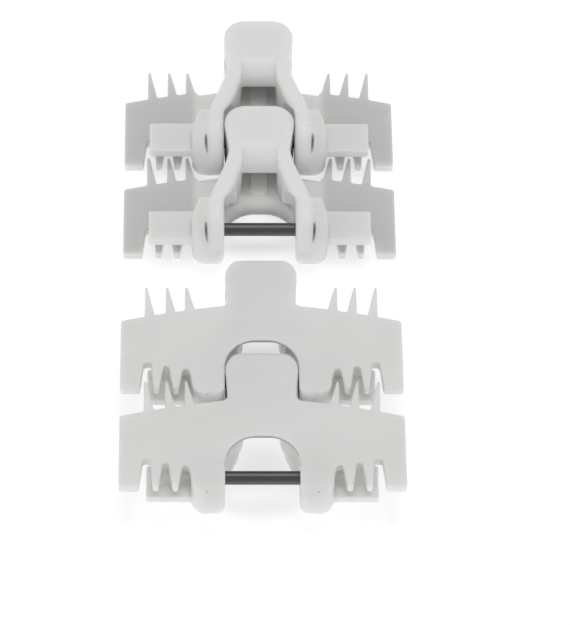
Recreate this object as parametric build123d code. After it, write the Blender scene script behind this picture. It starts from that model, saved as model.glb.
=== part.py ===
from build123d import *
from math import atan2, cos, radians, sin, sqrt, tan
import os

# Two lengths of side-flexing plain chain, two links each, lying one behind the other.
# The front length stands on its keels with its carrying plates up; the rear length is
# turned over and lies on its carrying plates. All sizes in millimetres.
# X runs across the track, Y along it (noses point to +Y), Z is up.
# A link is drawn about its own pin axis: pin along X through the origin, plate top at +Z.

# Driving sizes of the chain
PITCH = 33.5
LINK_WIDTH = 83.0
PLATE_THICKNESS = 3.6
PIN_BELOW_TOP = 6.5
EYE_RADIUS = 10.5
PIN_DIAMETER = 4.0
LINKS_PER_LENGTH = 2
LENGTH_GAP = 24.6

# Carrying plate, right half; y is measured forward from the pin axis
LEAD_INNER_Y = 22.8
LEAD_OUTER_Y = 17.3
LEAD_BULGE = 0.35
LEAD_RELIEF = 1.6
TRAIL_Y = -6.65
BLOCK_INNER_X = 35.7
EDGE_ROUND = 0.5
CORNER_ROUND = 0.8

# Comb: spikes on the leading edge run into the notches of the link ahead
SPIKE_TIPS_X = (22.6, 28.3, 34.5)
SPIKE_TIP_Y = 29.4
SPIKE_BASE = 3.35
SPIKE_TIP_WIDTH = 0.75
SPIKE_TIP_CUT = 0.22
NOTCH_TOPS = ((22.3, 0.4), (28.0, 1.2), (33.5, 2.5))
NOTCH_TOP_WIDTHS = (1.5, 1.5, 2.2)
NOTCH_TOP_CUT = 0.45
FINGER_TIPS_X = (25.15, 30.8)
FINGER_TIP_WIDTH = 1.6
FINGER_TIP_CUT = 0.4

# Legs that hold the pin, and the arch between them that takes the next nose
LEG_INNER_X = 10.85
LEG_OUTER_X = 20.6
LEG_FRONT_Y = 4.8
LEG_FRONT_X = 17.9
FLANK_REAR_Y = -1.2
LEG_ROUND = 2.1
LEG_OUTER_ROUND = 3.0
SLIT_X = 16.35
SLIT_WIDTH = 0.9
SLIT_FRONT_Y = -1.0
SLIT_REAR_Y = -9.1
SLIT_DEPTH = 5.2
ARCH_TOP_Y = 10.1
ARCH_TOP_ROUND = 9.4
ARCH_RIM_Y = 14.6
ARCH_RIM_ROUND = 6.2

# Hold-down wings under the plate
WING_HALF_WIDTH = 33.7
WING_FRONT_Y = 4.5
WING_REAR_Y = -6.3
WING_BELOW_TOP = 7.0
WING_THICKNESS = 3.0

# Nose, neck and the two arms that run from it to the legs
NOSE_RADIUS = 10.7
NOSE_FRONT = 6.5
NOSE_CORNER = 6.5
NOSE_RIM = 0.8
NOSE_FRONT_ROLL = 2.0
KEEL_NECK_TAPER = 10.0
PLATE_NECK_TAPER = 4.0
NECK_Y = 24.0
NECK_FOOT = 1.1
NECK_FOOT_DEPTH = 1.4
NOSE_SWEEP_PLAY = 0.25
SWEEP_STEP = 0.66
ARM_INNER = ((11.0, 2.8), (7.1, 11.5), (5.35, 18.5))
ARM_OUTER = ((10.4, 18.5), (13.0, 11.5), (14.9, 6.6))
ARM_NECK_X = 9.1
ARM_ROUND = 1.5
HOOD_REAR_Y = 19.35

# Pivot and the pocket that it turns in
PIVOT_DIAMETER = 10.5
PIVOT_HEIGHT = 7.6
PIVOT_PLAY = 0.1
PIVOT_END_PLAY = 0.1
PIN_PLAY = 0.05
YAW_LIMIT = 5.0
SLOT_PLAY = 0.2
TONGUE_WIDTH = 5.2
TONGUE_REAR_Y = 15.9
TONGUE_DROP = 0.6
TONGUE_ROOT = 0.3
CHANNEL_FLAT_Y = 23.0
CHANNEL_REAR_Y = 16.2

# Pin
PIN_END_INSET = 0.8
PIN_CHAMFER = 0.4

# Values that follow from the driving sizes
TOP = PIN_BELOW_TOP
BOTTOM = -EYE_RADIUS
PLATE_UNDER = TOP - PLATE_THICKNESS
HALF = LINK_WIDTH / 2
PIN_RADIUS = PIN_DIAMETER / 2
POCKET_RADIUS = PIVOT_DIAMETER / 2 + PIVOT_PLAY
POCKET_HALF = PIVOT_HEIGHT / 2 + PIVOT_END_PLAY
WING_TOP = TOP - WING_BELOW_TOP
OVER = 1.0
# A quarter round drawn in three straight steps: share across the rim, share of its height
ROUNDED_STEPS = ((0.0, 0.0), (0.134, 0.5), (0.5, 0.866), (1.0, 1.0))


def both_sides(shape):
    """The shape and its mirror image across the track's middle plane."""
    return shape + mirror(shape, about=Plane.YZ)


def upright(outline, low, high):
    """A plan outline raised from one height to another."""
    return extrude(Plane.XY.offset(low) * outline, amount=high - low)


def lead_edge_y(x):
    """Leading edge of the plate at a distance from the middle, without its bulge."""
    share = (x - LEG_INNER_X) / (HALF - LEG_INNER_X)
    return LEAD_INNER_Y + (LEAD_OUTER_Y - LEAD_INNER_Y) * share


def plate_half_outline():
    """Right half of the plate in plan, without spikes and notches."""
    middle_x = (LEG_INNER_X + HALF) / 2
    lead = ThreePointArc(
        (LEG_INNER_X, LEAD_INNER_Y), (middle_x, lead_edge_y(middle_x) + LEAD_BULGE), (HALF, LEAD_OUTER_Y)
    )
    rest = Polyline(
        (HALF, LEAD_OUTER_Y), (HALF, TRAIL_Y), (LEG_INNER_X, TRAIL_Y), (0, TRAIL_Y),
        (0, LEAD_INNER_Y), (LEG_INNER_X, LEAD_INNER_Y),
    )
    outline = make_face(lead + rest)
    corners = [v for v in outline.vertices() if v.X > HALF - 0.01]
    return fillet(corners, CORNER_ROUND)


def spike(tip_x):
    """One slender spike: straight outside, slanted inside, blunt tip."""
    base_y = lead_edge_y(tip_x) - OVER
    outline = make_face(Polyline(
        (tip_x, base_y), (tip_x, SPIKE_TIP_Y), (tip_x - SPIKE_TIP_WIDTH, SPIKE_TIP_Y),
        (tip_x - SPIKE_BASE, base_y), (tip_x, base_y),
    ))
    tips = [v for v in outline.vertices() if v.Y > SPIKE_TIP_Y - 0.01]
    return chamfer(tips, SPIKE_TIP_CUT)


def notch(index):
    """One trailing notch, narrow at its top and opening to the rear."""
    top_x, top_y = NOTCH_TOPS[index]
    half = NOTCH_TOP_WIDTHS[index] / 2
    tip = FINGER_TIP_WIDTH / 2
    inner_ends = (LEG_OUTER_X - OVER, FINGER_TIPS_X[0] + tip, FINGER_TIPS_X[1] + tip)
    outer_ends = (FINGER_TIPS_X[0] - tip, FINGER_TIPS_X[1] - tip, BLOCK_INNER_X)
    outline = make_face(Polyline(
        (top_x - half, top_y), (top_x + half, top_y), (outer_ends[index], TRAIL_Y),
        (outer_ends[index], TRAIL_Y - OVER), (inner_ends[index], TRAIL_Y - OVER),
        (inner_ends[index], TRAIL_Y), (top_x - half, top_y),
    ))
    tops = [v for v in outline.vertices() if v.Y > top_y - 0.01]
    return chamfer(tops, NOTCH_TOP_CUT)


def lead_relief():
    """Bevel under the leading edge beside the neck, room for the eyes ahead as the link yaws."""
    angle = atan2(LEAD_OUTER_Y - LEAD_INNER_Y, HALF - LEG_INNER_X)
    length = SPIKE_TIPS_X[0] - SPIKE_BASE - LEG_INNER_X
    edge = Plane(
        origin=(LEG_INNER_X, LEAD_INNER_Y + LEAD_BULGE / 2, PLATE_UNDER),
        x_dir=(-sin(angle), cos(angle), 0), z_dir=(cos(angle), sin(angle), 0),
    )
    wedge = make_face(Polyline(
        (-LEAD_RELIEF - OVER, -OVER), (OVER, LEAD_RELIEF + OVER), (OVER, -OVER), (-LEAD_RELIEF - OVER, -OVER)
    ))
    return extrude(edge * wedge, amount=length)


def plate():
    """The whole carrying plate with its comb, flat on top."""
    half = plate_half_outline()
    for tip_x in SPIKE_TIPS_X:
        half += spike(tip_x)
    for index in range(len(NOTCH_TOPS)):
        half -= notch(index)
    inner, outer = LEG_OUTER_X + OVER, HALF - CORNER_ROUND
    tips = [v for v in half.vertices() if abs(v.Y - TRAIL_Y) < 0.01 and inner < v.X < outer]
    half = chamfer(tips, FINGER_TIP_CUT)
    return both_sides(upright(half, PLATE_UNDER, TOP) - lead_relief())


def leg():
    """Right leg: a round eye about the pin, with its rear edges rounded."""
    across = ROUNDED_STEPS
    rim = [(LEG_INNER_X, 0)]
    rim += [(LEG_INNER_X + LEG_ROUND * x, EYE_RADIUS - LEG_ROUND * (1 - y)) for x, y in across]
    outer = reversed(across)
    rim += [(LEG_OUTER_X - LEG_OUTER_ROUND * x, EYE_RADIUS - LEG_OUTER_ROUND * (1 - y)) for x, y in outer]
    rim += [(LEG_OUTER_X, 0), (LEG_INNER_X, 0)]
    body = revolve(make_face(Polyline(*rim)), Axis.X)
    section = make_face(Polyline(
        (LEG_INNER_X, TOP), *[(x, -radius) for x, radius in rim[1:-2]], (LEG_OUTER_X, TOP), (LEG_INNER_X, TOP)
    ))
    front = extrude(Plane(origin=(0, 0, 0), x_dir=(1, 0, 0), z_dir=(0, -1, 0)) * section, amount=-LEG_FRONT_Y)
    above = Pos((LEG_INNER_X + LEG_OUTER_X) / 2, 0, TOP + EYE_RADIUS) * Box(LINK_WIDTH, PITCH, 2 * EYE_RADIUS)
    ahead = Pos(0, LEG_FRONT_Y + PITCH / 2, 0) * Box(LINK_WIDTH, PITCH, 2 * PITCH)
    body = body + front - above - ahead
    flank = make_face(Polyline(
        (LEG_OUTER_X, FLANK_REAR_Y), (LEG_FRONT_X, LEG_FRONT_Y + OVER),
        (LEG_OUTER_X + OVER, LEG_FRONT_Y + OVER), (LEG_OUTER_X + OVER, FLANK_REAR_Y), (LEG_OUTER_X, FLANK_REAR_Y),
    ))
    return body - upright(flank, BOTTOM - OVER, PLATE_UNDER)


def arm():
    """Right arm of the keel, a rib that runs from the leg to the nose."""
    outline = make_face(Polyline(
        (LEG_INNER_X, 0), *ARM_INNER, (ARM_INNER[2][0], NECK_Y), (ARM_NECK_X, NECK_Y),
        *ARM_OUTER, (ARM_OUTER[2][0] + OVER, 0), (LEG_INNER_X, 0),
    ))
    body = upright(outline, BOTTOM, PLATE_UNDER)
    crest = [e for e in body.edges().group_by(Axis.Z)[0] if OVER / 2 < e.center().Y < NECK_Y - OVER / 2]
    return fillet(crest, ARM_ROUND)


def nose_outline(taper):
    """Nose in plan: flat front, large corners, round flanks and a tapering neck."""
    angle = radians(taper)
    flank = (NOSE_RADIUS * cos(angle), PITCH - NOSE_RADIUS * sin(angle))
    neck_x = flank[0] - (flank[1] - NECK_Y) * tan(angle)
    flat = NOSE_RADIUS - NOSE_CORNER
    side = radians(taper / 2)
    turn = NOSE_CORNER * cos(radians(45))
    half = make_face(
        Line((0, PITCH + NOSE_FRONT), (flat, PITCH + NOSE_FRONT))
        + ThreePointArc((flat, PITCH + NOSE_FRONT), (flat + turn, PITCH + turn), (NOSE_RADIUS, PITCH))
        + ThreePointArc((NOSE_RADIUS, PITCH), (NOSE_RADIUS * cos(side), PITCH - NOSE_RADIUS * sin(side)), flank)
        + Polyline(flank, (neck_x, NECK_Y), (neck_x, HOOD_REAR_Y), (0, HOOD_REAR_Y), (0, PITCH + NOSE_FRONT))
    )
    return half + mirror(half, about=Plane.YZ)


def front_roll():
    """Waste ahead of the rolled edge where the nose's top meets its front."""
    front = PITCH + NOSE_FRONT
    steps = [(front - NOSE_FRONT_ROLL * x, TOP - NOSE_FRONT_ROLL * (1 - y)) for x, y in ROUNDED_STEPS]
    outline = make_face(Polyline(
        *steps, (front - NOSE_FRONT_ROLL, TOP + OVER), (front + OVER, TOP + OVER),
        (front + OVER, TOP - NOSE_FRONT_ROLL), steps[0],
    ))
    side = Plane(origin=(-NOSE_RADIUS, 0, 0), x_dir=(0, 1, 0), z_dir=(1, 0, 0))
    return extrude(side * outline, amount=2 * NOSE_RADIUS)


def neck_foot():
    """Right foot where the neck's top edge runs into the leading edge."""
    neck_x = NOSE_RADIUS - (PITCH - LEAD_INNER_Y) * tan(radians(PLATE_NECK_TAPER))
    outline = make_face(Polyline(
        (neck_x, LEAD_INNER_Y + NECK_FOOT), (neck_x + NECK_FOOT, LEAD_INNER_Y),
        (neck_x + NECK_FOOT, LEAD_INNER_Y - OVER), (neck_x - OVER, LEAD_INNER_Y - OVER),
        (neck_x - OVER, LEAD_INNER_Y + NECK_FOOT), (neck_x, LEAD_INNER_Y + NECK_FOOT),
    ))
    return upright(outline, TOP - NECK_FOOT_DEPTH, TOP)


def nose():
    """Nose and hood, the full depth of the link: the neck is wider in the plate than in the keel."""
    keel = upright(nose_outline(KEEL_NECK_TAPER), BOTTOM, PLATE_UNDER)
    rims = [e for e in keel.edges() if abs(e.center().Z - BOTTOM) < 0.01 and e.center().Y > NECK_Y + OVER / 2]
    keel = chamfer(rims, NOSE_RIM)
    cap = upright(nose_outline(PLATE_NECK_TAPER), PLATE_UNDER, TOP)
    return keel + cap - front_roll() + both_sides(neck_foot())


def wing():
    """Right hold-down wing, a flat tongue that reaches out from the leg."""
    width = WING_HALF_WIDTH - LEG_INNER_X - 2 * LEG_ROUND
    depth = WING_FRONT_Y - WING_REAR_Y
    middle_y = (WING_FRONT_Y + WING_REAR_Y) / 2
    middle = Pos(WING_HALF_WIDTH - width / 2, middle_y, WING_TOP - WING_THICKNESS / 2)
    body = middle * Box(width, depth, WING_THICKNESS)
    outer = [e for e in body.edges() if e.center().X > WING_HALF_WIDTH - 0.01]
    return fillet(outer, EDGE_ROUND)


def arch_wire(half_width, top_y, corner):
    """One cross-section of the arch between the legs, open to the rear."""
    flat = half_width - corner
    rear_y = -EYE_RADIUS - OVER
    turn = corner * sqrt(0.5)
    low_y = top_y - corner
    return make_face(
        Line((-half_width, rear_y), (-half_width, low_y))
        + ThreePointArc((-half_width, low_y), (-flat - turn, low_y + turn), (-flat, top_y))
        + Line((-flat, top_y), (flat, top_y))
        + ThreePointArc((flat, top_y), (flat + turn, low_y + turn), (half_width, low_y))
        + Line((half_width, low_y), (half_width, rear_y))
        + Line((half_width, rear_y), (-half_width, rear_y))
    )


def arch():
    """Space between the legs in the plate: its wall leans forward towards the underside."""
    slope = (ARCH_RIM_Y - ARCH_TOP_Y) / PLATE_THICKNESS
    round_step = (ARCH_RIM_ROUND - ARCH_TOP_ROUND) / PLATE_THICKNESS
    upper = Plane.XY.offset(TOP) * arch_wire(LEG_INNER_X, ARCH_TOP_Y, ARCH_TOP_ROUND)
    below = OVER / 2
    lower = Plane.XY.offset(PLATE_UNDER - below) * arch_wire(
        LEG_INNER_X, ARCH_RIM_Y + slope * below, ARCH_RIM_ROUND + round_step * below
    )
    return loft([lower, upper], ruled=True)


def nose_sweep():
    """Drum between the legs that the next nose's lower rim sweeps as the chain bends."""
    flat = NOSE_RADIUS - NOSE_CORNER
    middle = flat + NOSE_CORNER * SWEEP_STEP
    reach = sqrt(NOSE_CORNER ** 2 - (middle - flat) ** 2)
    widest = sqrt(NOSE_FRONT ** 2 + EYE_RADIUS ** 2) + NOSE_SWEEP_PLAY
    shoulder = sqrt(reach ** 2 + EYE_RADIUS ** 2) + NOSE_SWEEP_PLAY
    narrowest = EYE_RADIUS + NOSE_SWEEP_PLAY
    half = make_face(
        Polyline((LEG_INNER_X, narrowest), (LEG_INNER_X, 0), (0, 0), (0, widest), (flat, widest),
                 (middle, shoulder), (LEG_INNER_X, narrowest))
    )
    drum = both_sides(revolve(half, Axis.X))
    cover = Pos(0, 0, PLATE_UNDER + EYE_RADIUS) * Box(LINK_WIDTH, PITCH, 2 * EYE_RADIUS)
    return drum - cover


def pocket():
    """Round seat of the pivot with its channel, which runs out under the plate to the rear."""
    seat = upright(Pos(0, PITCH) * Circle(POCKET_RADIUS), -POCKET_HALF, POCKET_HALF)
    profile = make_face(Polyline(
        (PITCH, POCKET_HALF), (CHANNEL_FLAT_Y, POCKET_HALF), (CHANNEL_REAR_Y, PLATE_UNDER),
        (CHANNEL_REAR_Y, -POCKET_HALF), (PITCH, -POCKET_HALF), (PITCH, POCKET_HALF),
    ))
    side = Plane(origin=(-POCKET_RADIUS, 0, 0), x_dir=(0, 1, 0), z_dir=(1, 0, 0))
    return seat + extrude(side * profile, amount=2 * POCKET_RADIUS)


def tongue():
    """Springy tongue on the plate's underside that keeps the pivot in its seat."""
    front_y = PITCH - PIVOT_DIAMETER / 2 - SLOT_PLAY
    half = TONGUE_WIDTH / 2
    outline = make_face(Polyline(
        (-half, front_y), (half, front_y), (half, TONGUE_REAR_Y + half),
        (-half, TONGUE_REAR_Y + half), (-half, front_y),
    )) + Pos(0, TONGUE_REAR_Y + half) * Circle(half)
    return upright(outline, PLATE_UNDER - TONGUE_DROP, POCKET_HALF + TONGUE_ROOT)


def hood_round():
    """Waste behind and below the hood's rounded rear wall, between the arms."""
    radius = EYE_RADIUS - POCKET_HALF
    centre_y = HOOD_REAR_Y + radius
    turn = radius * sqrt(0.5)
    profile = make_face(
        ThreePointArc((centre_y, BOTTOM), (centre_y - turn, -POCKET_HALF - turn), (HOOD_REAR_Y, -POCKET_HALF))
        + Polyline((HOOD_REAR_Y, -POCKET_HALF), (HOOD_REAR_Y - OVER, -POCKET_HALF),
                   (HOOD_REAR_Y - OVER, BOTTOM - OVER), (centre_y, BOTTOM - OVER), (centre_y, BOTTOM))
    )
    side = Plane(origin=(-POCKET_RADIUS, 0, 0), x_dir=(0, 1, 0), z_dir=(1, 0, 0))
    return extrude(side * profile, amount=2 * POCKET_RADIUS)


def pin_slot():
    """Right side slot of the nose: it lets the pin swing as the link yaws."""
    swing = NOSE_RADIUS * sin(radians(YAW_LIMIT))
    height = PIN_DIAMETER + 2 * SLOT_PLAY
    reach = NOSE_RADIUS + OVER / 2
    width = height + 2 * swing
    side = Plane(origin=(reach, PITCH, 0), x_dir=(0, 1, 0), z_dir=(-1, 0, 0))
    return extrude(side * Rectangle(width, height), amount=reach - POCKET_RADIUS + OVER)


def pin_channel():
    """Pin hole through the legs, running out as a groove along the wings."""
    hole = Rot(0, 90, 0) * Cylinder(PIN_RADIUS, 2 * LEG_OUTER_X)
    groove = Pos((LEG_OUTER_X + WING_HALF_WIDTH + OVER) / 2, 0, 0) * Box(
        WING_HALF_WIDTH - LEG_OUTER_X + OVER, PIN_DIAMETER + 2 * SLOT_PLAY, PIN_DIAMETER + 2 * SLOT_PLAY
    )
    return hole + both_sides(groove)


def slit():
    """Narrow core slit in the underside of the right leg."""
    rear_y = SLIT_REAR_Y
    length = SLIT_FRONT_Y - rear_y
    outline = Pos(SLIT_X, (SLIT_FRONT_Y + rear_y) / 2) * Rectangle(SLIT_WIDTH, length)
    return upright(outline, BOTTOM - OVER, BOTTOM + SLIT_DEPTH)


def link():
    """One moulded link about its own pin axis."""
    body = plate() - arch()
    body += both_sides(leg()) + both_sides(arm()) + both_sides(wing()) + nose()
    body -= nose_sweep() + pocket() + hood_round()
    body += tongue()
    body -= both_sides(pin_slot()) + pin_channel() + both_sides(slit())
    return body


def pin():
    """Steel pin with chamfered ends, along X."""
    length = 2 * (LEG_OUTER_X - PIN_END_INSET)
    body = Rot(0, 90, 0) * Cylinder(PIN_RADIUS, length)
    ends = [e for e in body.edges() if e.geom_type == GeomType.CIRCLE]
    return chamfer(ends, PIN_CHAMFER)


def pivot():
    """Upright barrel with a cross bore for the pin."""
    body = Cylinder(PIVOT_DIAMETER / 2, PIVOT_HEIGHT)
    return body - Rot(0, 90, 0) * Cylinder(PIN_RADIUS + PIN_PLAY, PIVOT_DIAMETER + 2)


def pin_positions():
    """Y of each pin axis, front length first, about the middle of the whole layout."""
    length = LINKS_PER_LENGTH * PITCH
    ahead = length + LENGTH_GAP
    raw = [index * PITCH for index in range(LINKS_PER_LENGTH)]
    raw += [ahead + index * PITCH for index in range(LINKS_PER_LENGTH)]
    middle = (ahead + length + NOSE_FRONT - EYE_RADIUS) / 2
    return [y - middle for y in raw]


def save(shape, name):
    """Write one sub-part under its node's name."""
    export_step(shape, f"parts/{name}.step")


def main():
    os.makedirs("parts", exist_ok=True)
    link_shape, pin_shape, pivot_shape = link(), pin(), pivot()
    upright_place = Pos(0, 0, EYE_RADIUS)
    turned_place = Pos(0, 0, TOP) * Rot(0, 180, 0)
    places = (upright_place, upright_place, turned_place, turned_place)
    names = ("front_tail", "front_lead", "rear_tail", "rear_lead")
    for name, place, y in zip(names, places, pin_positions()):
        here = Pos(0, y, 0) * place
        save(here * link_shape, f"{name}_link")
        save(here * pin_shape, f"{name}_pin")
        save(here * Pos(0, PITCH, 0) * pivot_shape, f"{name}_pivot")


main()
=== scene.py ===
"""Flexible conveyor chain: two lengths of two white acetal links with their steel pins and pivots."""

import logging
from dataclasses import dataclass
from enum import Enum
from math import cos, radians, sin, sqrt

import bmesh
import bpy
from mathutils import Matrix, Vector


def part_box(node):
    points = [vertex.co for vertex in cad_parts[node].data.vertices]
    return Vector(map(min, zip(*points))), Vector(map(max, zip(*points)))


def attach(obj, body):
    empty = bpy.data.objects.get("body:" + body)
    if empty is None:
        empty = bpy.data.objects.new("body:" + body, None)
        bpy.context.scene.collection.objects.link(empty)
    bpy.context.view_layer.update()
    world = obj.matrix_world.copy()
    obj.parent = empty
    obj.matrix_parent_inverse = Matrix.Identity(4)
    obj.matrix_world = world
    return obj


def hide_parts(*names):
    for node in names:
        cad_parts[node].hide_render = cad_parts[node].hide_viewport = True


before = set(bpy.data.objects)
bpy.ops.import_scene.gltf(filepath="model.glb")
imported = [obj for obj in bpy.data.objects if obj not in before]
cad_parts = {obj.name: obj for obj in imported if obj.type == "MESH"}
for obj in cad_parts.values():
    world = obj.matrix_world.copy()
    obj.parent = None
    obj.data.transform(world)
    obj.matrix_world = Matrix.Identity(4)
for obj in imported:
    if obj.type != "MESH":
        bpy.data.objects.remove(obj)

LOG = logging.getLogger("conveyor_chain")
MM = 0.001
PLACE_NAMES = ("tail", "lead")
# The values of a noise pattern between which a tone goes from its deep to its pale end.
NOISE_ENDS = (0.35, 0.65)
WHITE = (1.0, 1.0, 1.0, 1.0)


class Part(Enum):
    """The three kinds of piece that the chain comes apart into."""

    LINK = "link"
    PIN = "pin"
    PIVOT = "pivot"


class Noise(Enum):
    """How a noise pattern lies on a surface."""

    EVEN = (1.0, 1.0, 1.0)
    ALONG_PIN = (0.02, 1.0, 1.0)
    ALONG_CHAIN = (1.0, 0.06, 1.0)


class Way(Enum):
    """Which way up a length lies: the factors that take its places back to a link's own."""

    UPRIGHT = (1.0, 1.0, 1.0)
    TURNED = (-1.0, 1.0, -1.0)


LENGTHS = {"front": Way.UPRIGHT, "rear": Way.TURNED}


class Graph:
    """A material's node graph, with short calls for the nodes that the finishes share."""

    def __init__(self, name: str) -> None:
        """Start an empty material with a Principled shader.

        Args:
            name: name of the material.
        """
        self.material = bpy.data.materials.new(name)
        self.material.use_nodes = True
        self.tree = self.material.node_tree
        self.tree.nodes.clear()
        self.shader = self.tree.nodes.new("ShaderNodeBsdfPrincipled")
        output = self.tree.nodes.new("ShaderNodeOutputMaterial")
        self.tree.links.new(self.shader.outputs["BSDF"], output.inputs["Surface"])
        self.place = self.tree.nodes.new("ShaderNodeTexCoord").outputs["Object"]

    def noise(self, scale: float, detail: float, spread: Noise = Noise.EVEN) -> bpy.types.NodeSocket:
        """Add a noise pattern in the piece's own coordinates.

        Args:
            scale: how many features fit in a metre.
            detail: octaves of finer noise.
            spread: stretch of the pattern along the axes.

        Returns:
            The pattern's value socket.
        """
        mapping = self.tree.nodes.new("ShaderNodeMapping")
        mapping.inputs["Scale"].default_value = spread.value
        self.tree.links.new(self.place, mapping.inputs["Vector"])
        pattern = self.tree.nodes.new("ShaderNodeTexNoise")
        pattern.inputs["Scale"].default_value = scale
        pattern.inputs["Detail"].default_value = detail
        self.tree.links.new(mapping.outputs["Vector"], pattern.inputs["Vector"])
        return pattern.outputs["Fac"]

    def ramp(self, value: bpy.types.NodeSocket, low: tuple, high: tuple) -> bpy.types.NodeSocket:
        """Turn a value into a colour between two colours.

        Args:
            value: socket from 0 to 1.
            low: colour at the pattern's low end.
            high: colour at its high end.

        Returns:
            The colour socket.
        """
        node = self.tree.nodes.new("ShaderNodeValToRGB")
        for stop, place, colour in zip(node.color_ramp.elements, NOISE_ENDS, (low, high)):
            stop.position = place
            stop.color = (*colour, 1.0)
        self.tree.links.new(value, node.inputs["Fac"])
        return node.outputs["Color"]

    def span(self, value: bpy.types.NodeSocket, low: float, high: float) -> bpy.types.NodeSocket:
        """Turn a value from 0 to 1 into one between two limits.

        Args:
            value: socket from 0 to 1.
            low: result at 0.
            high: result at 1.

        Returns:
            The value socket.
        """
        node = self.tree.nodes.new("ShaderNodeMapRange")
        node.inputs["To Min"].default_value = low
        node.inputs["To Max"].default_value = high
        self.tree.links.new(value, node.inputs["Value"])
        return node.outputs["Result"]

    def bump(self, height: bpy.types.NodeSocket, depth_mm: float, share: float) -> None:
        """Raise the surface by a pattern.

        Args:
            height: pattern socket.
            depth_mm: height of the relief in millimetres.
            share: share of it that shows.
        """
        node = self.tree.nodes.new("ShaderNodeBump")
        node.inputs["Distance"].default_value = depth_mm * MM
        node.inputs["Strength"].default_value = share
        self.tree.links.new(height, node.inputs["Height"])
        self.tree.links.new(node.outputs["Normal"], self.shader.inputs["Normal"])

    def math(self, how: str, *values: object) -> bpy.types.NodeSocket:
        """Add one sum on values.

        Args:
            how: the Math node's operation.
            values: up to three sockets or numbers.

        Returns:
            The result socket.
        """
        node = self.tree.nodes.new("ShaderNodeMath")
        node.operation = how
        for socket, value in zip(node.inputs, values):
            if isinstance(value, bpy.types.NodeSocket):
                self.tree.links.new(value, socket)
            else:
                socket.default_value = value
        return node.outputs["Value"]

    def product(self, *masks: bpy.types.NodeSocket) -> bpy.types.NodeSocket:
        """Multiply masks with each other.

        Args:
            masks: two mask sockets or more.

        Returns:
            The mask socket.
        """
        result = masks[0]
        for mask in masks[1:]:
            result = self.math("MULTIPLY", result, mask)
        return result

    def off(self, value: bpy.types.NodeSocket, place_mm: float) -> bpy.types.NodeSocket:
        """Return how far a coordinate lies from a place given in millimetres."""
        return self.math("ABSOLUTE", self.math("SUBTRACT", value, place_mm * MM))

    def fade(self, value: bpy.types.NodeSocket, limits_mm: tuple) -> bpy.types.NodeSocket:
        """Turn a distance into a soft mask.

        Args:
            value: distance in metres.
            limits_mm: where the mask is whole and where it ends, in millimetres.

        Returns:
            The mask socket.
        """
        full, gone = limits_mm
        node = self.tree.nodes.new("ShaderNodeMapRange")
        node.interpolation_type = "SMOOTHSTEP"
        node.inputs["From Min"].default_value = full * MM
        node.inputs["From Max"].default_value = gone * MM
        node.inputs["To Min"].default_value = 1.0
        node.inputs["To Max"].default_value = 0.0
        self.tree.links.new(value, node.inputs["Value"])
        return node.outputs["Result"]

    def blend(
        self, mask: bpy.types.NodeSocket, base: bpy.types.NodeSocket, tint: tuple,
    ) -> bpy.types.NodeSocket:
        """Lay a colour over another where a mask says so.

        Args:
            mask: mask socket from 0 to 1.
            base: colour socket below.
            tint: colour on top.

        Returns:
            The colour socket.
        """
        node = self.tree.nodes.new("ShaderNodeMix")
        node.data_type = "RGBA"
        colours = [socket for socket in node.inputs if socket.type == "RGBA"]
        self.tree.links.new(mask, node.inputs["Factor"])
        self.tree.links.new(base, colours[0])
        colours[1].default_value = (*tint, 1.0)
        return [socket for socket in node.outputs if socket.type == "RGBA"][0]

    def own_place(self, way: Way, origin: tuple) -> tuple:
        """Give the coordinates about a link's own pin axis, whichever way up it lies.

        Args:
            way: which way up the link lies.
            origin: middle of its pin, in metres.

        Returns:
            The x, y and z sockets, x without its sign.
        """
        mapping = self.tree.nodes.new("ShaderNodeMapping")
        mapping.inputs["Scale"].default_value = way.value
        mapping.inputs["Location"].default_value = [-a * b for a, b in zip(way.value, origin)]
        self.tree.links.new(self.place, mapping.inputs["Vector"])
        split = self.tree.nodes.new("ShaderNodeSeparateXYZ")
        self.tree.links.new(mapping.outputs["Vector"], split.inputs["Vector"])
        return self.math("ABSOLUTE", split.outputs["X"]), split.outputs["Y"], split.outputs["Z"]

    def feed(self, socket: str, source: bpy.types.NodeSocket) -> None:
        """Connect a pattern to one of the shader's inputs."""
        self.tree.links.new(source, self.shader.inputs[socket])

    def fix(self, **values: object) -> None:
        """Set shader inputs that are the same all over; an underscore stands for a space."""
        for name, value in values.items():
            self.shader.inputs[name.replace("_", " ")].default_value = value


@dataclass(frozen=True)
class MouldedPlastic:
    """Satin moulded plastic with a fine grain, faint clouds of tone and a milky depth."""

    name: str
    pale: tuple
    deep: tuple
    gloss: tuple = (0.34, 0.46)
    depth_mm: float = 1.2
    depth_tint: tuple = (1.0, 0.97, 0.88)
    glow: float = 0.25
    refraction: float = 1.48
    # Each pattern has its features in a metre and its octaves; the relief its height in millimetres and its share.
    clouds: tuple = (90.0, 3.0)
    grain: tuple = (1800.0, 2.0)
    relief: tuple = (0.04, 0.35)

    def start(self, name: str) -> Graph:
        """Start the finish with its milky depth.

        Args:
            name: name of the material.

        Returns:
            The graph to draw the surface on.
        """
        graph = Graph(name)
        graph.fix(
            Subsurface_Weight=self.glow, Subsurface_Scale=self.depth_mm * MM,
            Subsurface_Radius=self.depth_tint, IOR=self.refraction,
        )
        return graph

    def material(self) -> bpy.types.Material:
        """Build the finish of a small plain piece.

        Returns:
            The material.
        """
        graph = self.start(self.name)
        grain = graph.noise(*self.grain)
        graph.feed("Base Color", graph.ramp(graph.noise(*self.clouds), self.deep, self.pale))
        graph.feed("Roughness", graph.span(grain, *self.gloss))
        graph.bump(grain, *self.relief)
        return graph.material


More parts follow.
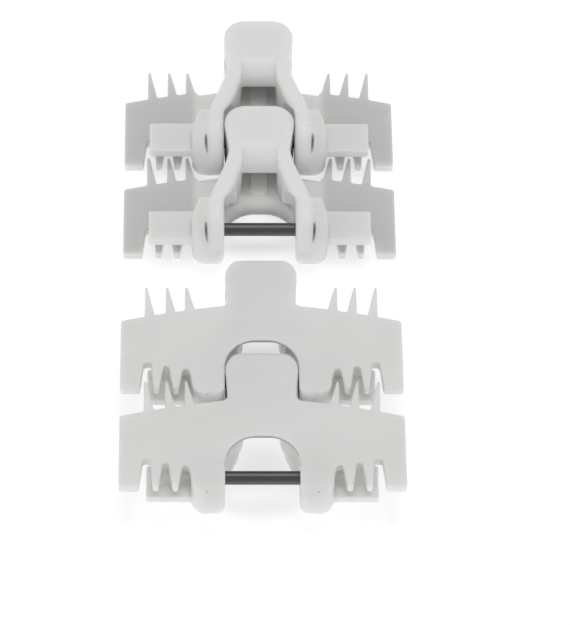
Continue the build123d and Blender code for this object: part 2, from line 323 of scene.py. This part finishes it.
@dataclass(frozen=True)
class LinkAcetal(MouldedPlastic):
    """The links' acetal, with what the mould leaves on each (core marks, creases, flow lines) and painted light
    and shade.

    Places are millimetres about the link's own pin. A pair of them says where a mask is whole and where it ends.
    """

    clouds: tuple = (60.0, 3.0)
    grain: tuple = (1500.0, 2.5)
    relief: tuple = (0.06, 0.5)
    grain_height: float = 0.5
    flow: tuple = (900.0, 2.0)
    flow_height: float = 0.6
    mark_mm: tuple = (16.0, -8.6, 6.0)
    mark_reach_mm: tuple = (0.21, 0.42)
    mark_tone: tuple = (0.55, 0.55, 0.53)
    mark_share: float = 0.8
    mark_height: float = -2.0
    crease_x_mm: float = 15.7
    crease_length_mm: tuple = (3.7, 4.9)
    crease_y_mm: float = -8.3
    crease_width_mm: tuple = (0.05, 0.45)
    crease_above_mm: float = 5.0
    crease_height: float = -4.0
    ends_x_mm: tuple = (41.0, 33.0)
    ends_roughness: float = 0.05
    # Painted shade on the plate's underside beside the legs: its height, reach and darker tone.
    under_z_mm: float = 2.9
    under_depth_mm: tuple = (0.3, 0.9)
    under_x_mm: tuple = (21.6, 18.6)
    under_painted_shade: tuple = (0.66, 0.66, 0.655)
    # Painted light on the arms and the nose's lower end: their heights, reach and paler tone.
    arm_z_mm: tuple = (-4.0, -1.0)
    arm_x_mm: tuple = (14.0, 17.0)
    arm_painted_light: tuple = (0.88, 0.88, 0.875)
    # Painted shade on the arch's wall, darker towards the plate's top: its heights, reach and tone.
    lip_z_mm: tuple = (6.3, 3.2)
    lip_top_mm: tuple = (6.2, 6.42)
    lip_x_mm: tuple = (10.2, 10.6)
    lip_y_mm: tuple = (13.5, 15.0)
    lip_painted_shade: tuple = (0.4, 0.4, 0.392)

    def mark(self, graph: Graph, place: tuple) -> bpy.types.NodeSocket:
        """Mask of the two small core marks on top of the legs.

        Args:
            graph: the material's graph.
            place: the link's own coordinates.

        Returns:
            The mask socket.
        """
        squares = [
            graph.math("POWER", graph.off(axis, centre), 2.0) for axis, centre in zip(place, self.mark_mm)
        ]
        total = graph.math("ADD", graph.math("ADD", squares[0], squares[1]), squares[2])
        return graph.fade(graph.math("SQRT", total), self.mark_reach_mm)

    def crease(self, graph: Graph, place: tuple) -> bpy.types.NodeSocket:
        """Mask of the faint line where the plate's top rolls down into each leg.

        Args:
            graph: the material's graph.
            place: the link's own coordinates.

        Returns:
            The mask socket.
        """
        across, along, height = place
        line = graph.fade(graph.off(along, self.crease_y_mm), self.crease_width_mm)
        length = graph.fade(graph.off(across, self.crease_x_mm), self.crease_length_mm)
        top = graph.math("GREATER_THAN", height, self.crease_above_mm * MM)
        return graph.product(line, length, top)

    def underside_shade_mask(self, graph: Graph, place: tuple) -> bpy.types.NodeSocket:
        """Mask of the plate's flat underside beside the legs, darkened there as painted shade.

        Args:
            graph: the material's graph.
            place: the link's own coordinates.

        Returns:
            The mask socket.
        """
        across, _, height = place
        face = graph.fade(graph.off(height, self.under_z_mm), self.under_depth_mm)
        return graph.product(face, graph.fade(across, self.under_x_mm))

    def arms_light_mask(self, graph: Graph, place: tuple) -> bpy.types.NodeSocket:
        """Mask of the arms and the nose's lower end, made paler there as painted light.

        Args:
            graph: the material's graph.
            place: the link's own coordinates.

        Returns:
            The mask socket.
        """
        across, _, height = place
        return graph.product(graph.fade(height, self.arm_z_mm), graph.fade(across, self.arm_x_mm))

    def lip_shade_mask(self, graph: Graph, place: tuple) -> bpy.types.NodeSocket:
        """Mask of the arch's wall, darkened towards the plate's top as painted shade.

        Args:
            graph: the material's graph.
            place: the link's own coordinates.

        Returns:
            The mask socket.
        """
        across, along, height = place
        wall = graph.product(graph.fade(height, self.lip_z_mm), graph.fade(height, self.lip_top_mm))
        return graph.product(wall, graph.fade(across, self.lip_x_mm), graph.fade(along, self.lip_y_mm))

    def of_link(self, place_name: str, way: Way, origin: tuple) -> bpy.types.Material:
        """Build the finish of one link, its marks and its painted light and shade in their own places.

        Args:
            place_name: the link's name in the frame.
            way: which way up it lies.
            origin: middle of its pin, in metres.

        Returns:
            The material.
        """
        graph = self.start(f"{self.name}_{place_name}")
        place = graph.own_place(way, origin)
        mark, grain = self.mark(graph, place), graph.noise(*self.grain)
        ends = graph.fade(place[0], self.ends_x_mm)
        lines = graph.product(graph.noise(*self.flow, Noise.ALONG_CHAIN), ends)
        tone = graph.ramp(graph.noise(*self.clouds), self.deep, self.pale)
        # The underside and the arch's wall get painted shade, the arms painted light.
        tone = graph.blend(self.underside_shade_mask(graph, place), tone, self.under_painted_shade)
        tone = graph.blend(self.arms_light_mask(graph, place), tone, self.arm_painted_light)
        tone = graph.blend(self.lip_shade_mask(graph, place), tone, self.lip_painted_shade)
        tone = graph.blend(graph.math("MULTIPLY", mark, self.mark_share), tone, self.mark_tone)
        graph.feed("Base Color", tone)
        gloss = graph.span(grain, *self.gloss)
        graph.feed("Roughness", graph.math("MULTIPLY_ADD", ends, self.ends_roughness, gloss))
        height = graph.math("MULTIPLY", grain, self.grain_height)
        height = graph.math("MULTIPLY_ADD", lines, self.flow_height, height)
        height = graph.math("MULTIPLY_ADD", self.crease(graph, place), self.crease_height, height)
        height = graph.math("MULTIPLY_ADD", mark, self.mark_height, height)
        graph.bump(height, *self.relief)
        return graph.material


@dataclass(frozen=True)
class DrawnSteel:
    """Drawn steel with a dull shine and a fine grain along the pin."""

    name: str
    pale: tuple
    deep: tuple
    gloss: tuple = (0.34, 0.42)
    grain: tuple = (4000.0, 3.0)
    relief: tuple = (0.004, 0.3)

    def material(self) -> bpy.types.Material:
        """Build the finish.

        Returns:
            The material.
        """
        graph = Graph(self.name)
        drawn = graph.noise(*self.grain, Noise.ALONG_PIN)
        graph.feed("Base Color", graph.ramp(drawn, self.deep, self.pale))
        graph.feed("Roughness", graph.span(drawn, *self.gloss))
        graph.bump(drawn, *self.relief)
        graph.fix(Metallic=1.0)
        return graph.material


ACETAL = LinkAcetal("acetal", pale=(0.81, 0.81, 0.805), deep=(0.785, 0.785, 0.775), depth_mm=3.0, glow=0.8)
POLYAMIDE = MouldedPlastic("pivot_plastic", pale=(0.76, 0.75, 0.71), deep=(0.72, 0.71, 0.67), glow=0.15)
STEEL = DrawnSteel("steel", pale=(0.135, 0.13, 0.135), deep=(0.11, 0.108, 0.11))


@dataclass
class MouldedLink:
    """A link as it leaves the mould: the frame's solid, soft-edged, its slits, legs, arch and hood worked over.

    Places are millimetres about the link's own pin: x across the chain, y towards the nose, z towards the plate.
    """

    place: str
    way: Way
    finish: LinkAcetal
    # The skin: size of its grain, smoothing, and the share of faces that stays.
    joining_mm: float = 0.002
    skin_mm: float = 0.27
    soft_step: float = 0.5
    soft_rounds: int = 4
    kept_share: float = 0.55
    # The plate: its underside and its top.
    plate_z_mm: tuple = (2.9, 6.5)
    # The core slits: the front goes from the first place to the second, along the round of the eye.
    slit_x_mm: float = 16.35
    slit_reach_mm: float = 0.6
    slit_band_mm: float = 1.0
    slit_narrowing: float = 0.84
    slit_front_mm: tuple = (-1.0, -4.0)
    eye_radius_mm: float = 10.5
    near_mm: float = 0.05
    # The legs: where their rear ends start, how far back they reach, and how much they narrow.
    leg_end_y_mm: float = -5.5
    leg_end_z_mm: float = 6.2
    leg_end_x_mm: tuple = (10.0, 21.0)
    leg_end_rounds: int = 120
    leg_core_x_mm: tuple = (13.0, 21.0)
    leg_rear_y_mm: float = -10.5
    leg_taper: float = 0.8
    # The hood: the shift grows, holds and fades between the places along the chain.
    hood_shift_mm: float = 1.0
    hood_y_mm: tuple = (14.7, 15.9, 20.5, 27.0)
    hood_x_mm: tuple = (5.6, 8.0)
    hood_z_mm: float = 3.1
    # The arch: half its width, and each edge's foremost place with the radius of its corners.
    arch_x_mm: float = 10.85
    arch_top_mm: tuple = (10.1, 9.4)
    arch_rim_mm: tuple = (14.6, 6.2)
    arch_beyond_mm: float = 15.2
    arch_near_mm: float = 0.8

    def own(self, spot: Vector, origin: Vector) -> Vector:
        """Return a spot in millimetres about the link's own pin, whichever way up it lies."""
        away = spot - origin
        return Vector([value * sign / MM for value, sign in zip(away, self.way.value)])

    def narrow_slits(self, shell: bmesh.types.BMesh, origin: Vector) -> None:
        """Draw the walls of the core slits in the legs together, and their front ends back.

        Args:
            shell: the link's closed skin.
            origin: middle of its pin, in metres.
        """
        for side in (-1.0, 1.0):
            middle = side * self.slit_x_mm
            walls = [v for v in shell.verts if abs(self.own(v.co, origin).x - middle) < self.slit_reach_mm]
            centre = Vector((origin.x + middle * self.way.value[0] * MM, 0.0, 0.0))
            bmesh.ops.scale(
                shell, vec=(self.slit_narrowing, 1.0, 1.0), space=Matrix.Translation(-centre), verts=walls
            )
            found, wanted = self.slit_front_mm
            front = [v for v in walls if abs(self.own(v.co, origin).y - found) < self.near_mm]
            bmesh.ops.translate(shell, vec=(0.0, (wanted - found) * MM, 0.0), verts=front)
            rims = [-sqrt(self.eye_radius_mm ** 2 - y * y) for y in (found, wanted)]
            rim = [v for v in front if self.own(v.co, origin).z < rims[0] + self.near_mm]
            lift = (rims[1] - rims[0]) * self.way.value[2] * MM
            bmesh.ops.translate(shell, vec=(0.0, 0.0, lift), verts=rim)

    def arch_edge(self, across: float, edge: tuple) -> float:
        """Return how far forward one edge of the arch lies.

        Args:
            across: distance from the link's middle.
            edge: the edge's foremost place and the radius of its corners.

        Returns:
            The edge's place along the chain.
        """
        front, corner = edge
        into_corner = max(across - (self.arch_x_mm - corner), 0.0)
        return front - corner + sqrt(max(corner * corner - into_corner * into_corner, 0.0))

    def roll_arch(self, mesh: bpy.types.Mesh, origin: Vector) -> None:
        """Make the arch's straight wall roll over towards the plate's underside.

        Args:
            mesh: the softened mesh.
            origin: middle of the link's pin, in metres.
        """
        under, top = self.plate_z_mm
        for vert in mesh.vertices:
            spot = self.own(vert.co, origin)
            if abs(spot.x) > self.arch_x_mm or not under < spot.z < top or spot.y > self.arch_beyond_mm:
                continue
            upper = self.arch_edge(abs(spot.x), self.arch_top_mm)
            reach = self.arch_edge(abs(spot.x), self.arch_rim_mm) - upper
            down = (top - spot.z) / (top - under)
            if abs(spot.y - upper - reach * down) < self.arch_near_mm:
                vert.co.y -= reach * (down - 1.0 + sqrt(1.0 - down * down)) * MM

    def deepen_hood(self, mesh: bpy.types.Mesh, origin: Vector) -> None:
        """Bring the hood's lip and the tongue's end between the arms further back.

        Args:
            mesh: the softened mesh.
            origin: middle of the link's pin, in metres.
        """
        start, full, fading, end = self.hood_y_mm
        inner, outer = self.hood_x_mm
        for vert in mesh.vertices:
            spot = self.own(vert.co, origin)
            if spot.z > self.hood_z_mm or not start < spot.y < end or abs(spot.x) > outer:
                continue
            rise = min((spot.y - start) / (full - start), 1.0)
            fall = min((end - spot.y) / (end - fading), 1.0)
            beside = min((outer - abs(spot.x)) / (outer - inner), 1.0)
            vert.co.y -= self.hood_shift_mm * rise * fall * beside * MM

    def taper_legs(self, mesh: bpy.types.Mesh, origin: Vector) -> None:
        """Draw the outer side of the legs in towards their rear ends.

        Args:
            mesh: the softened mesh.
            origin: middle of the link's pin, in metres.
        """
        length = self.leg_rear_y_mm - self.leg_end_y_mm
        inner, outer = self.leg_core_x_mm
        for vert in mesh.vertices:
            spot = self.own(vert.co, origin)
            if spot.y > self.leg_end_y_mm or not inner < abs(spot.x) < outer:
                continue
            back = min((spot.y - self.leg_end_y_mm) / length, 1.0) * self.leg_taper
            inwards = (abs(spot.x) - inner) * (1.0 - sqrt(1.0 - back * back)) * MM
            vert.co.x += -inwards if vert.co.x > origin.x else inwards

    def leg_ends(self, mesh: bpy.types.Mesh, origin: Vector) -> list:
        """List the vertices at the rear ends of the legs, apart from a band about each slit.

        Args:
            mesh: the softened mesh.
            origin: middle of the link's pin, in metres.

        Returns:
            The vertices' numbers.
        """
        chosen = []
        inner, outer = self.leg_end_x_mm
        for vert in mesh.vertices:
            spot = self.own(vert.co, origin)
            across = abs(spot.x)
            if spot.y > self.leg_end_y_mm or spot.z > self.leg_end_z_mm or not inner < across < outer:
                continue
            if spot.z > 0.0 or abs(across - self.slit_x_mm) > self.slit_band_mm:
                chosen.append(vert.index)
        return chosen

    def merged_copy(self, node: bpy.types.Object, origin: Vector) -> bpy.types.Mesh:
        """Copy a node's loose triangles and join them into one closed skin.

        Args:
            node: the frame's node.
            origin: middle of the link's pin, in metres.

        Returns:
            The closed mesh.
        """
        mesh = node.data.copy()
        shell = bmesh.new()
        shell.from_mesh(mesh)
        bmesh.ops.remove_doubles(shell, verts=shell.verts, dist=self.joining_mm * MM)
        self.narrow_slits(shell, origin)
        shell.to_mesh(mesh)
        shell.free()
        mesh.name = f"{self.place}_moulding"
        return mesh

    def worked(self, mesh: bpy.types.Mesh, steps: tuple, chosen: list | None = None) -> bpy.types.Mesh:
        """Apply modifiers to a mesh on a blank object.

        Args:
            mesh: the mesh to work on.
            steps: each modifier's type with its settings.
            chosen: numbers of the vertices in the group "chosen".

        Returns:
            The mesh that they make.
        """
        blank = bpy.data.objects.new("blank", mesh)
        bpy.context.scene.collection.objects.link(blank)
        if chosen:
            blank.vertex_groups.new(name="chosen").add(chosen, 1.0, "REPLACE")
        for kind, settings in steps:
            modifier = blank.modifiers.new(kind.lower(), kind)
            for name, value in settings.items():
                setattr(modifier, name, value)
        ready = blank.evaluated_get(bpy.context.evaluated_depsgraph_get())
        made = bpy.data.meshes.new_from_object(ready)
        bpy.data.objects.remove(blank)
        return made

    def softened(self, mesh: bpy.types.Mesh, origin: Vector) -> bpy.types.Mesh:
        """Round all edges of a closed mesh as a mould does, and work over the arch, the legs and the hood.

        Args:
            mesh: closed mesh with sharp edges.
            origin: middle of the link's pin, in metres.

        Returns:
            A new mesh with soft edges.
        """
        skin = ("REMESH", {"mode": "VOXEL", "voxel_size": self.skin_mm * MM})
        soft = ("SMOOTH", {"factor": self.soft_step, "iterations": self.soft_rounds})
        made = self.worked(mesh, (skin, soft))
        self.roll_arch(made, origin)
        self.taper_legs(made, origin)
        self.deepen_hood(made, origin)
        rounds = {"factor": self.soft_step, "iterations": self.leg_end_rounds, "vertex_group": "chosen"}
        thinner = ("DECIMATE", {"ratio": self.kept_share})
        made = self.worked(made, (("SMOOTH", rounds), thinner), self.leg_ends(made, origin))
        made.polygons.foreach_set("use_smooth", [True] * len(made.polygons))
        return made

    def build(self) -> bpy.types.Object:
        """Make the link and let it stand for the frame's solid.

        Returns:
            The finished piece.
        """
        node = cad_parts[f"{self.place}_{Part.LINK.value}"]
        low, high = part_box(f"{self.place}_{Part.PIN.value}")
        origin = (Vector(low) + Vector(high)) / 2
        mesh = self.softened(self.merged_copy(node, origin), origin)
        mesh.materials.clear()
        mesh.materials.append(self.finish.of_link(self.place, self.way, tuple(origin)))
        piece = bpy.data.objects.new(f"{self.place}_moulded_link", mesh)
        bpy.context.scene.collection.objects.link(piece)
        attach(piece, self.place)
        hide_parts(node.name)
        LOG.info("moulded %s with %d faces", piece.name, len(mesh.polygons))
        return piece


@dataclass
class ChainLength:
    """One length of the chain: two links with a pin and a pivot each."""

    name: str
    way: Way
    finishes: dict

    def dress(self) -> None:
        """Give every piece of the length its finish."""
        for place in PLACE_NAMES:
            MouldedLink(f"{self.name}_{place}", self.way, ACETAL).build()
            for part in (Part.PIN, Part.PIVOT):
                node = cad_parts[f"{self.name}_{place}_{part.value}"]
                node.data.materials.clear()
                node.data.materials.append(self.finishes[part])
                LOG.info("dressed %s", node.name)


@dataclass
class PhotoCamera:
    """The camera, as it stood for the photograph."""

    target_mm: tuple = (7.259, -17.749, 8.5)
    distance_mm: float = 1122.32
    elevation: float = 55.336
    azimuth: float = 2.268
    roll: float = 1.933
    lens_mm: float = 216.368
    sensor_mm: float = 36.0
    clip_end: float = 20.0

    def place(self) -> None:
        """Create the camera and make it the scene's own."""
        el, az, roll = radians(self.elevation), radians(self.azimuth), radians(self.roll)
        ahead = Vector((sin(az) * cos(el), cos(az) * cos(el), -sin(el)))
        right = Vector((cos(az), -sin(az), 0.0))
        up = right.cross(ahead)
        across = right * cos(roll) + up * sin(roll)
        above = up * cos(roll) - right * sin(roll)
        spot = Vector(self.target_mm) * MM - ahead * self.distance_mm * MM
        turn = Matrix((across, above, -ahead)).transposed().to_4x4()
        data = bpy.data.cameras.new("photo_camera")
        data.lens = self.lens_mm
        data.sensor_width = self.sensor_mm
        data.clip_end = self.clip_end
        camera = bpy.data.objects.new("photo_camera", data)
        camera.matrix_world = Matrix.Translation(spot) @ turn
        bpy.context.scene.collection.objects.link(camera)
        bpy.context.scene.camera = camera
        LOG.info("camera placed")


@dataclass
class Studio:
    """Plain pale floor and soft light, in metres."""

    floor_side: float = 6.0
    floor_tone: tuple = (0.88, 0.88, 0.88)
    floor_roughness: float = 0.8
    floor_glow: float = 0.4
    sky: float = 0.5
    # The one lamp that the pins' shine shows.
    mirrored: str = "sky_panel"
    # Each lamp's name, place, side and power, in metres and watts.
    lamps: tuple = (
        ("sky_panel", (0.1, 0.5, 1.5), 0.8, 4.5),
        ("left_panel", (-1.4, -0.2, 0.7), 0.9, 2.2),
        ("right_panel", (1.4, -0.1, 0.6), 0.9, 1.4),
        ("front_panel", (0.0, -1.4, 0.8), 0.9, 2.6),
    )

    def floor(self) -> None:
        """Lay the floor."""
        mesh = bpy.data.meshes.new("floor")
        sheet = bmesh.new()
        bmesh.ops.create_grid(sheet, x_segments=1, y_segments=1, size=self.floor_side / 2)
        sheet.to_mesh(mesh)
        sheet.free()
        plane = bpy.data.objects.new("floor", mesh)
        bpy.context.scene.collection.objects.link(plane)
        graph = Graph("floor_paper")
        graph.fix(Base_Color=(*self.floor_tone, 1.0), Roughness=self.floor_roughness)
        graph.fix(Emission_Color=WHITE, Emission_Strength=self.floor_glow)
        plane.data.materials.append(graph.material)

    def light(self) -> None:
        """Hang the lamps, turned towards the middle of the chain, and set the surroundings."""
        for name, spot, side, power in self.lamps:
            data = bpy.data.lights.new(name, "AREA")
            data.shape = "SQUARE"
            data.size = side
            data.energy = power
            lamp = bpy.data.objects.new(name, data)
            lamp.visible_glossy = name == self.mirrored
            lamp.location = spot
            lamp.rotation_euler = (-Vector(spot)).to_track_quat("-Z", "Y").to_euler()
            bpy.context.scene.collection.objects.link(lamp)
        world = bpy.data.worlds.new("studio")
        world.use_nodes = True
        background = world.node_tree.nodes["Background"]
        background.inputs["Color"].default_value = WHITE
        background.inputs["Strength"].default_value = self.sky
        bpy.context.scene.world = world
        bpy.context.scene.view_settings.view_transform = "Standard"

    def build(self) -> None:
        """Lay the floor and hang the lamps."""
        self.floor()
        self.light()
        LOG.info("studio built")


def main() -> None:
    """Build the scene in order."""
    logging.basicConfig(level=logging.INFO)
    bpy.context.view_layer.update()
    finishes = {Part.PIN: STEEL.material(), Part.PIVOT: POLYAMIDE.material()}
    for name, way in LENGTHS.items():
        ChainLength(name, way, finishes).dress()
    Studio().build()
    PhotoCamera().place()


if __name__ == "__main__":
    main()
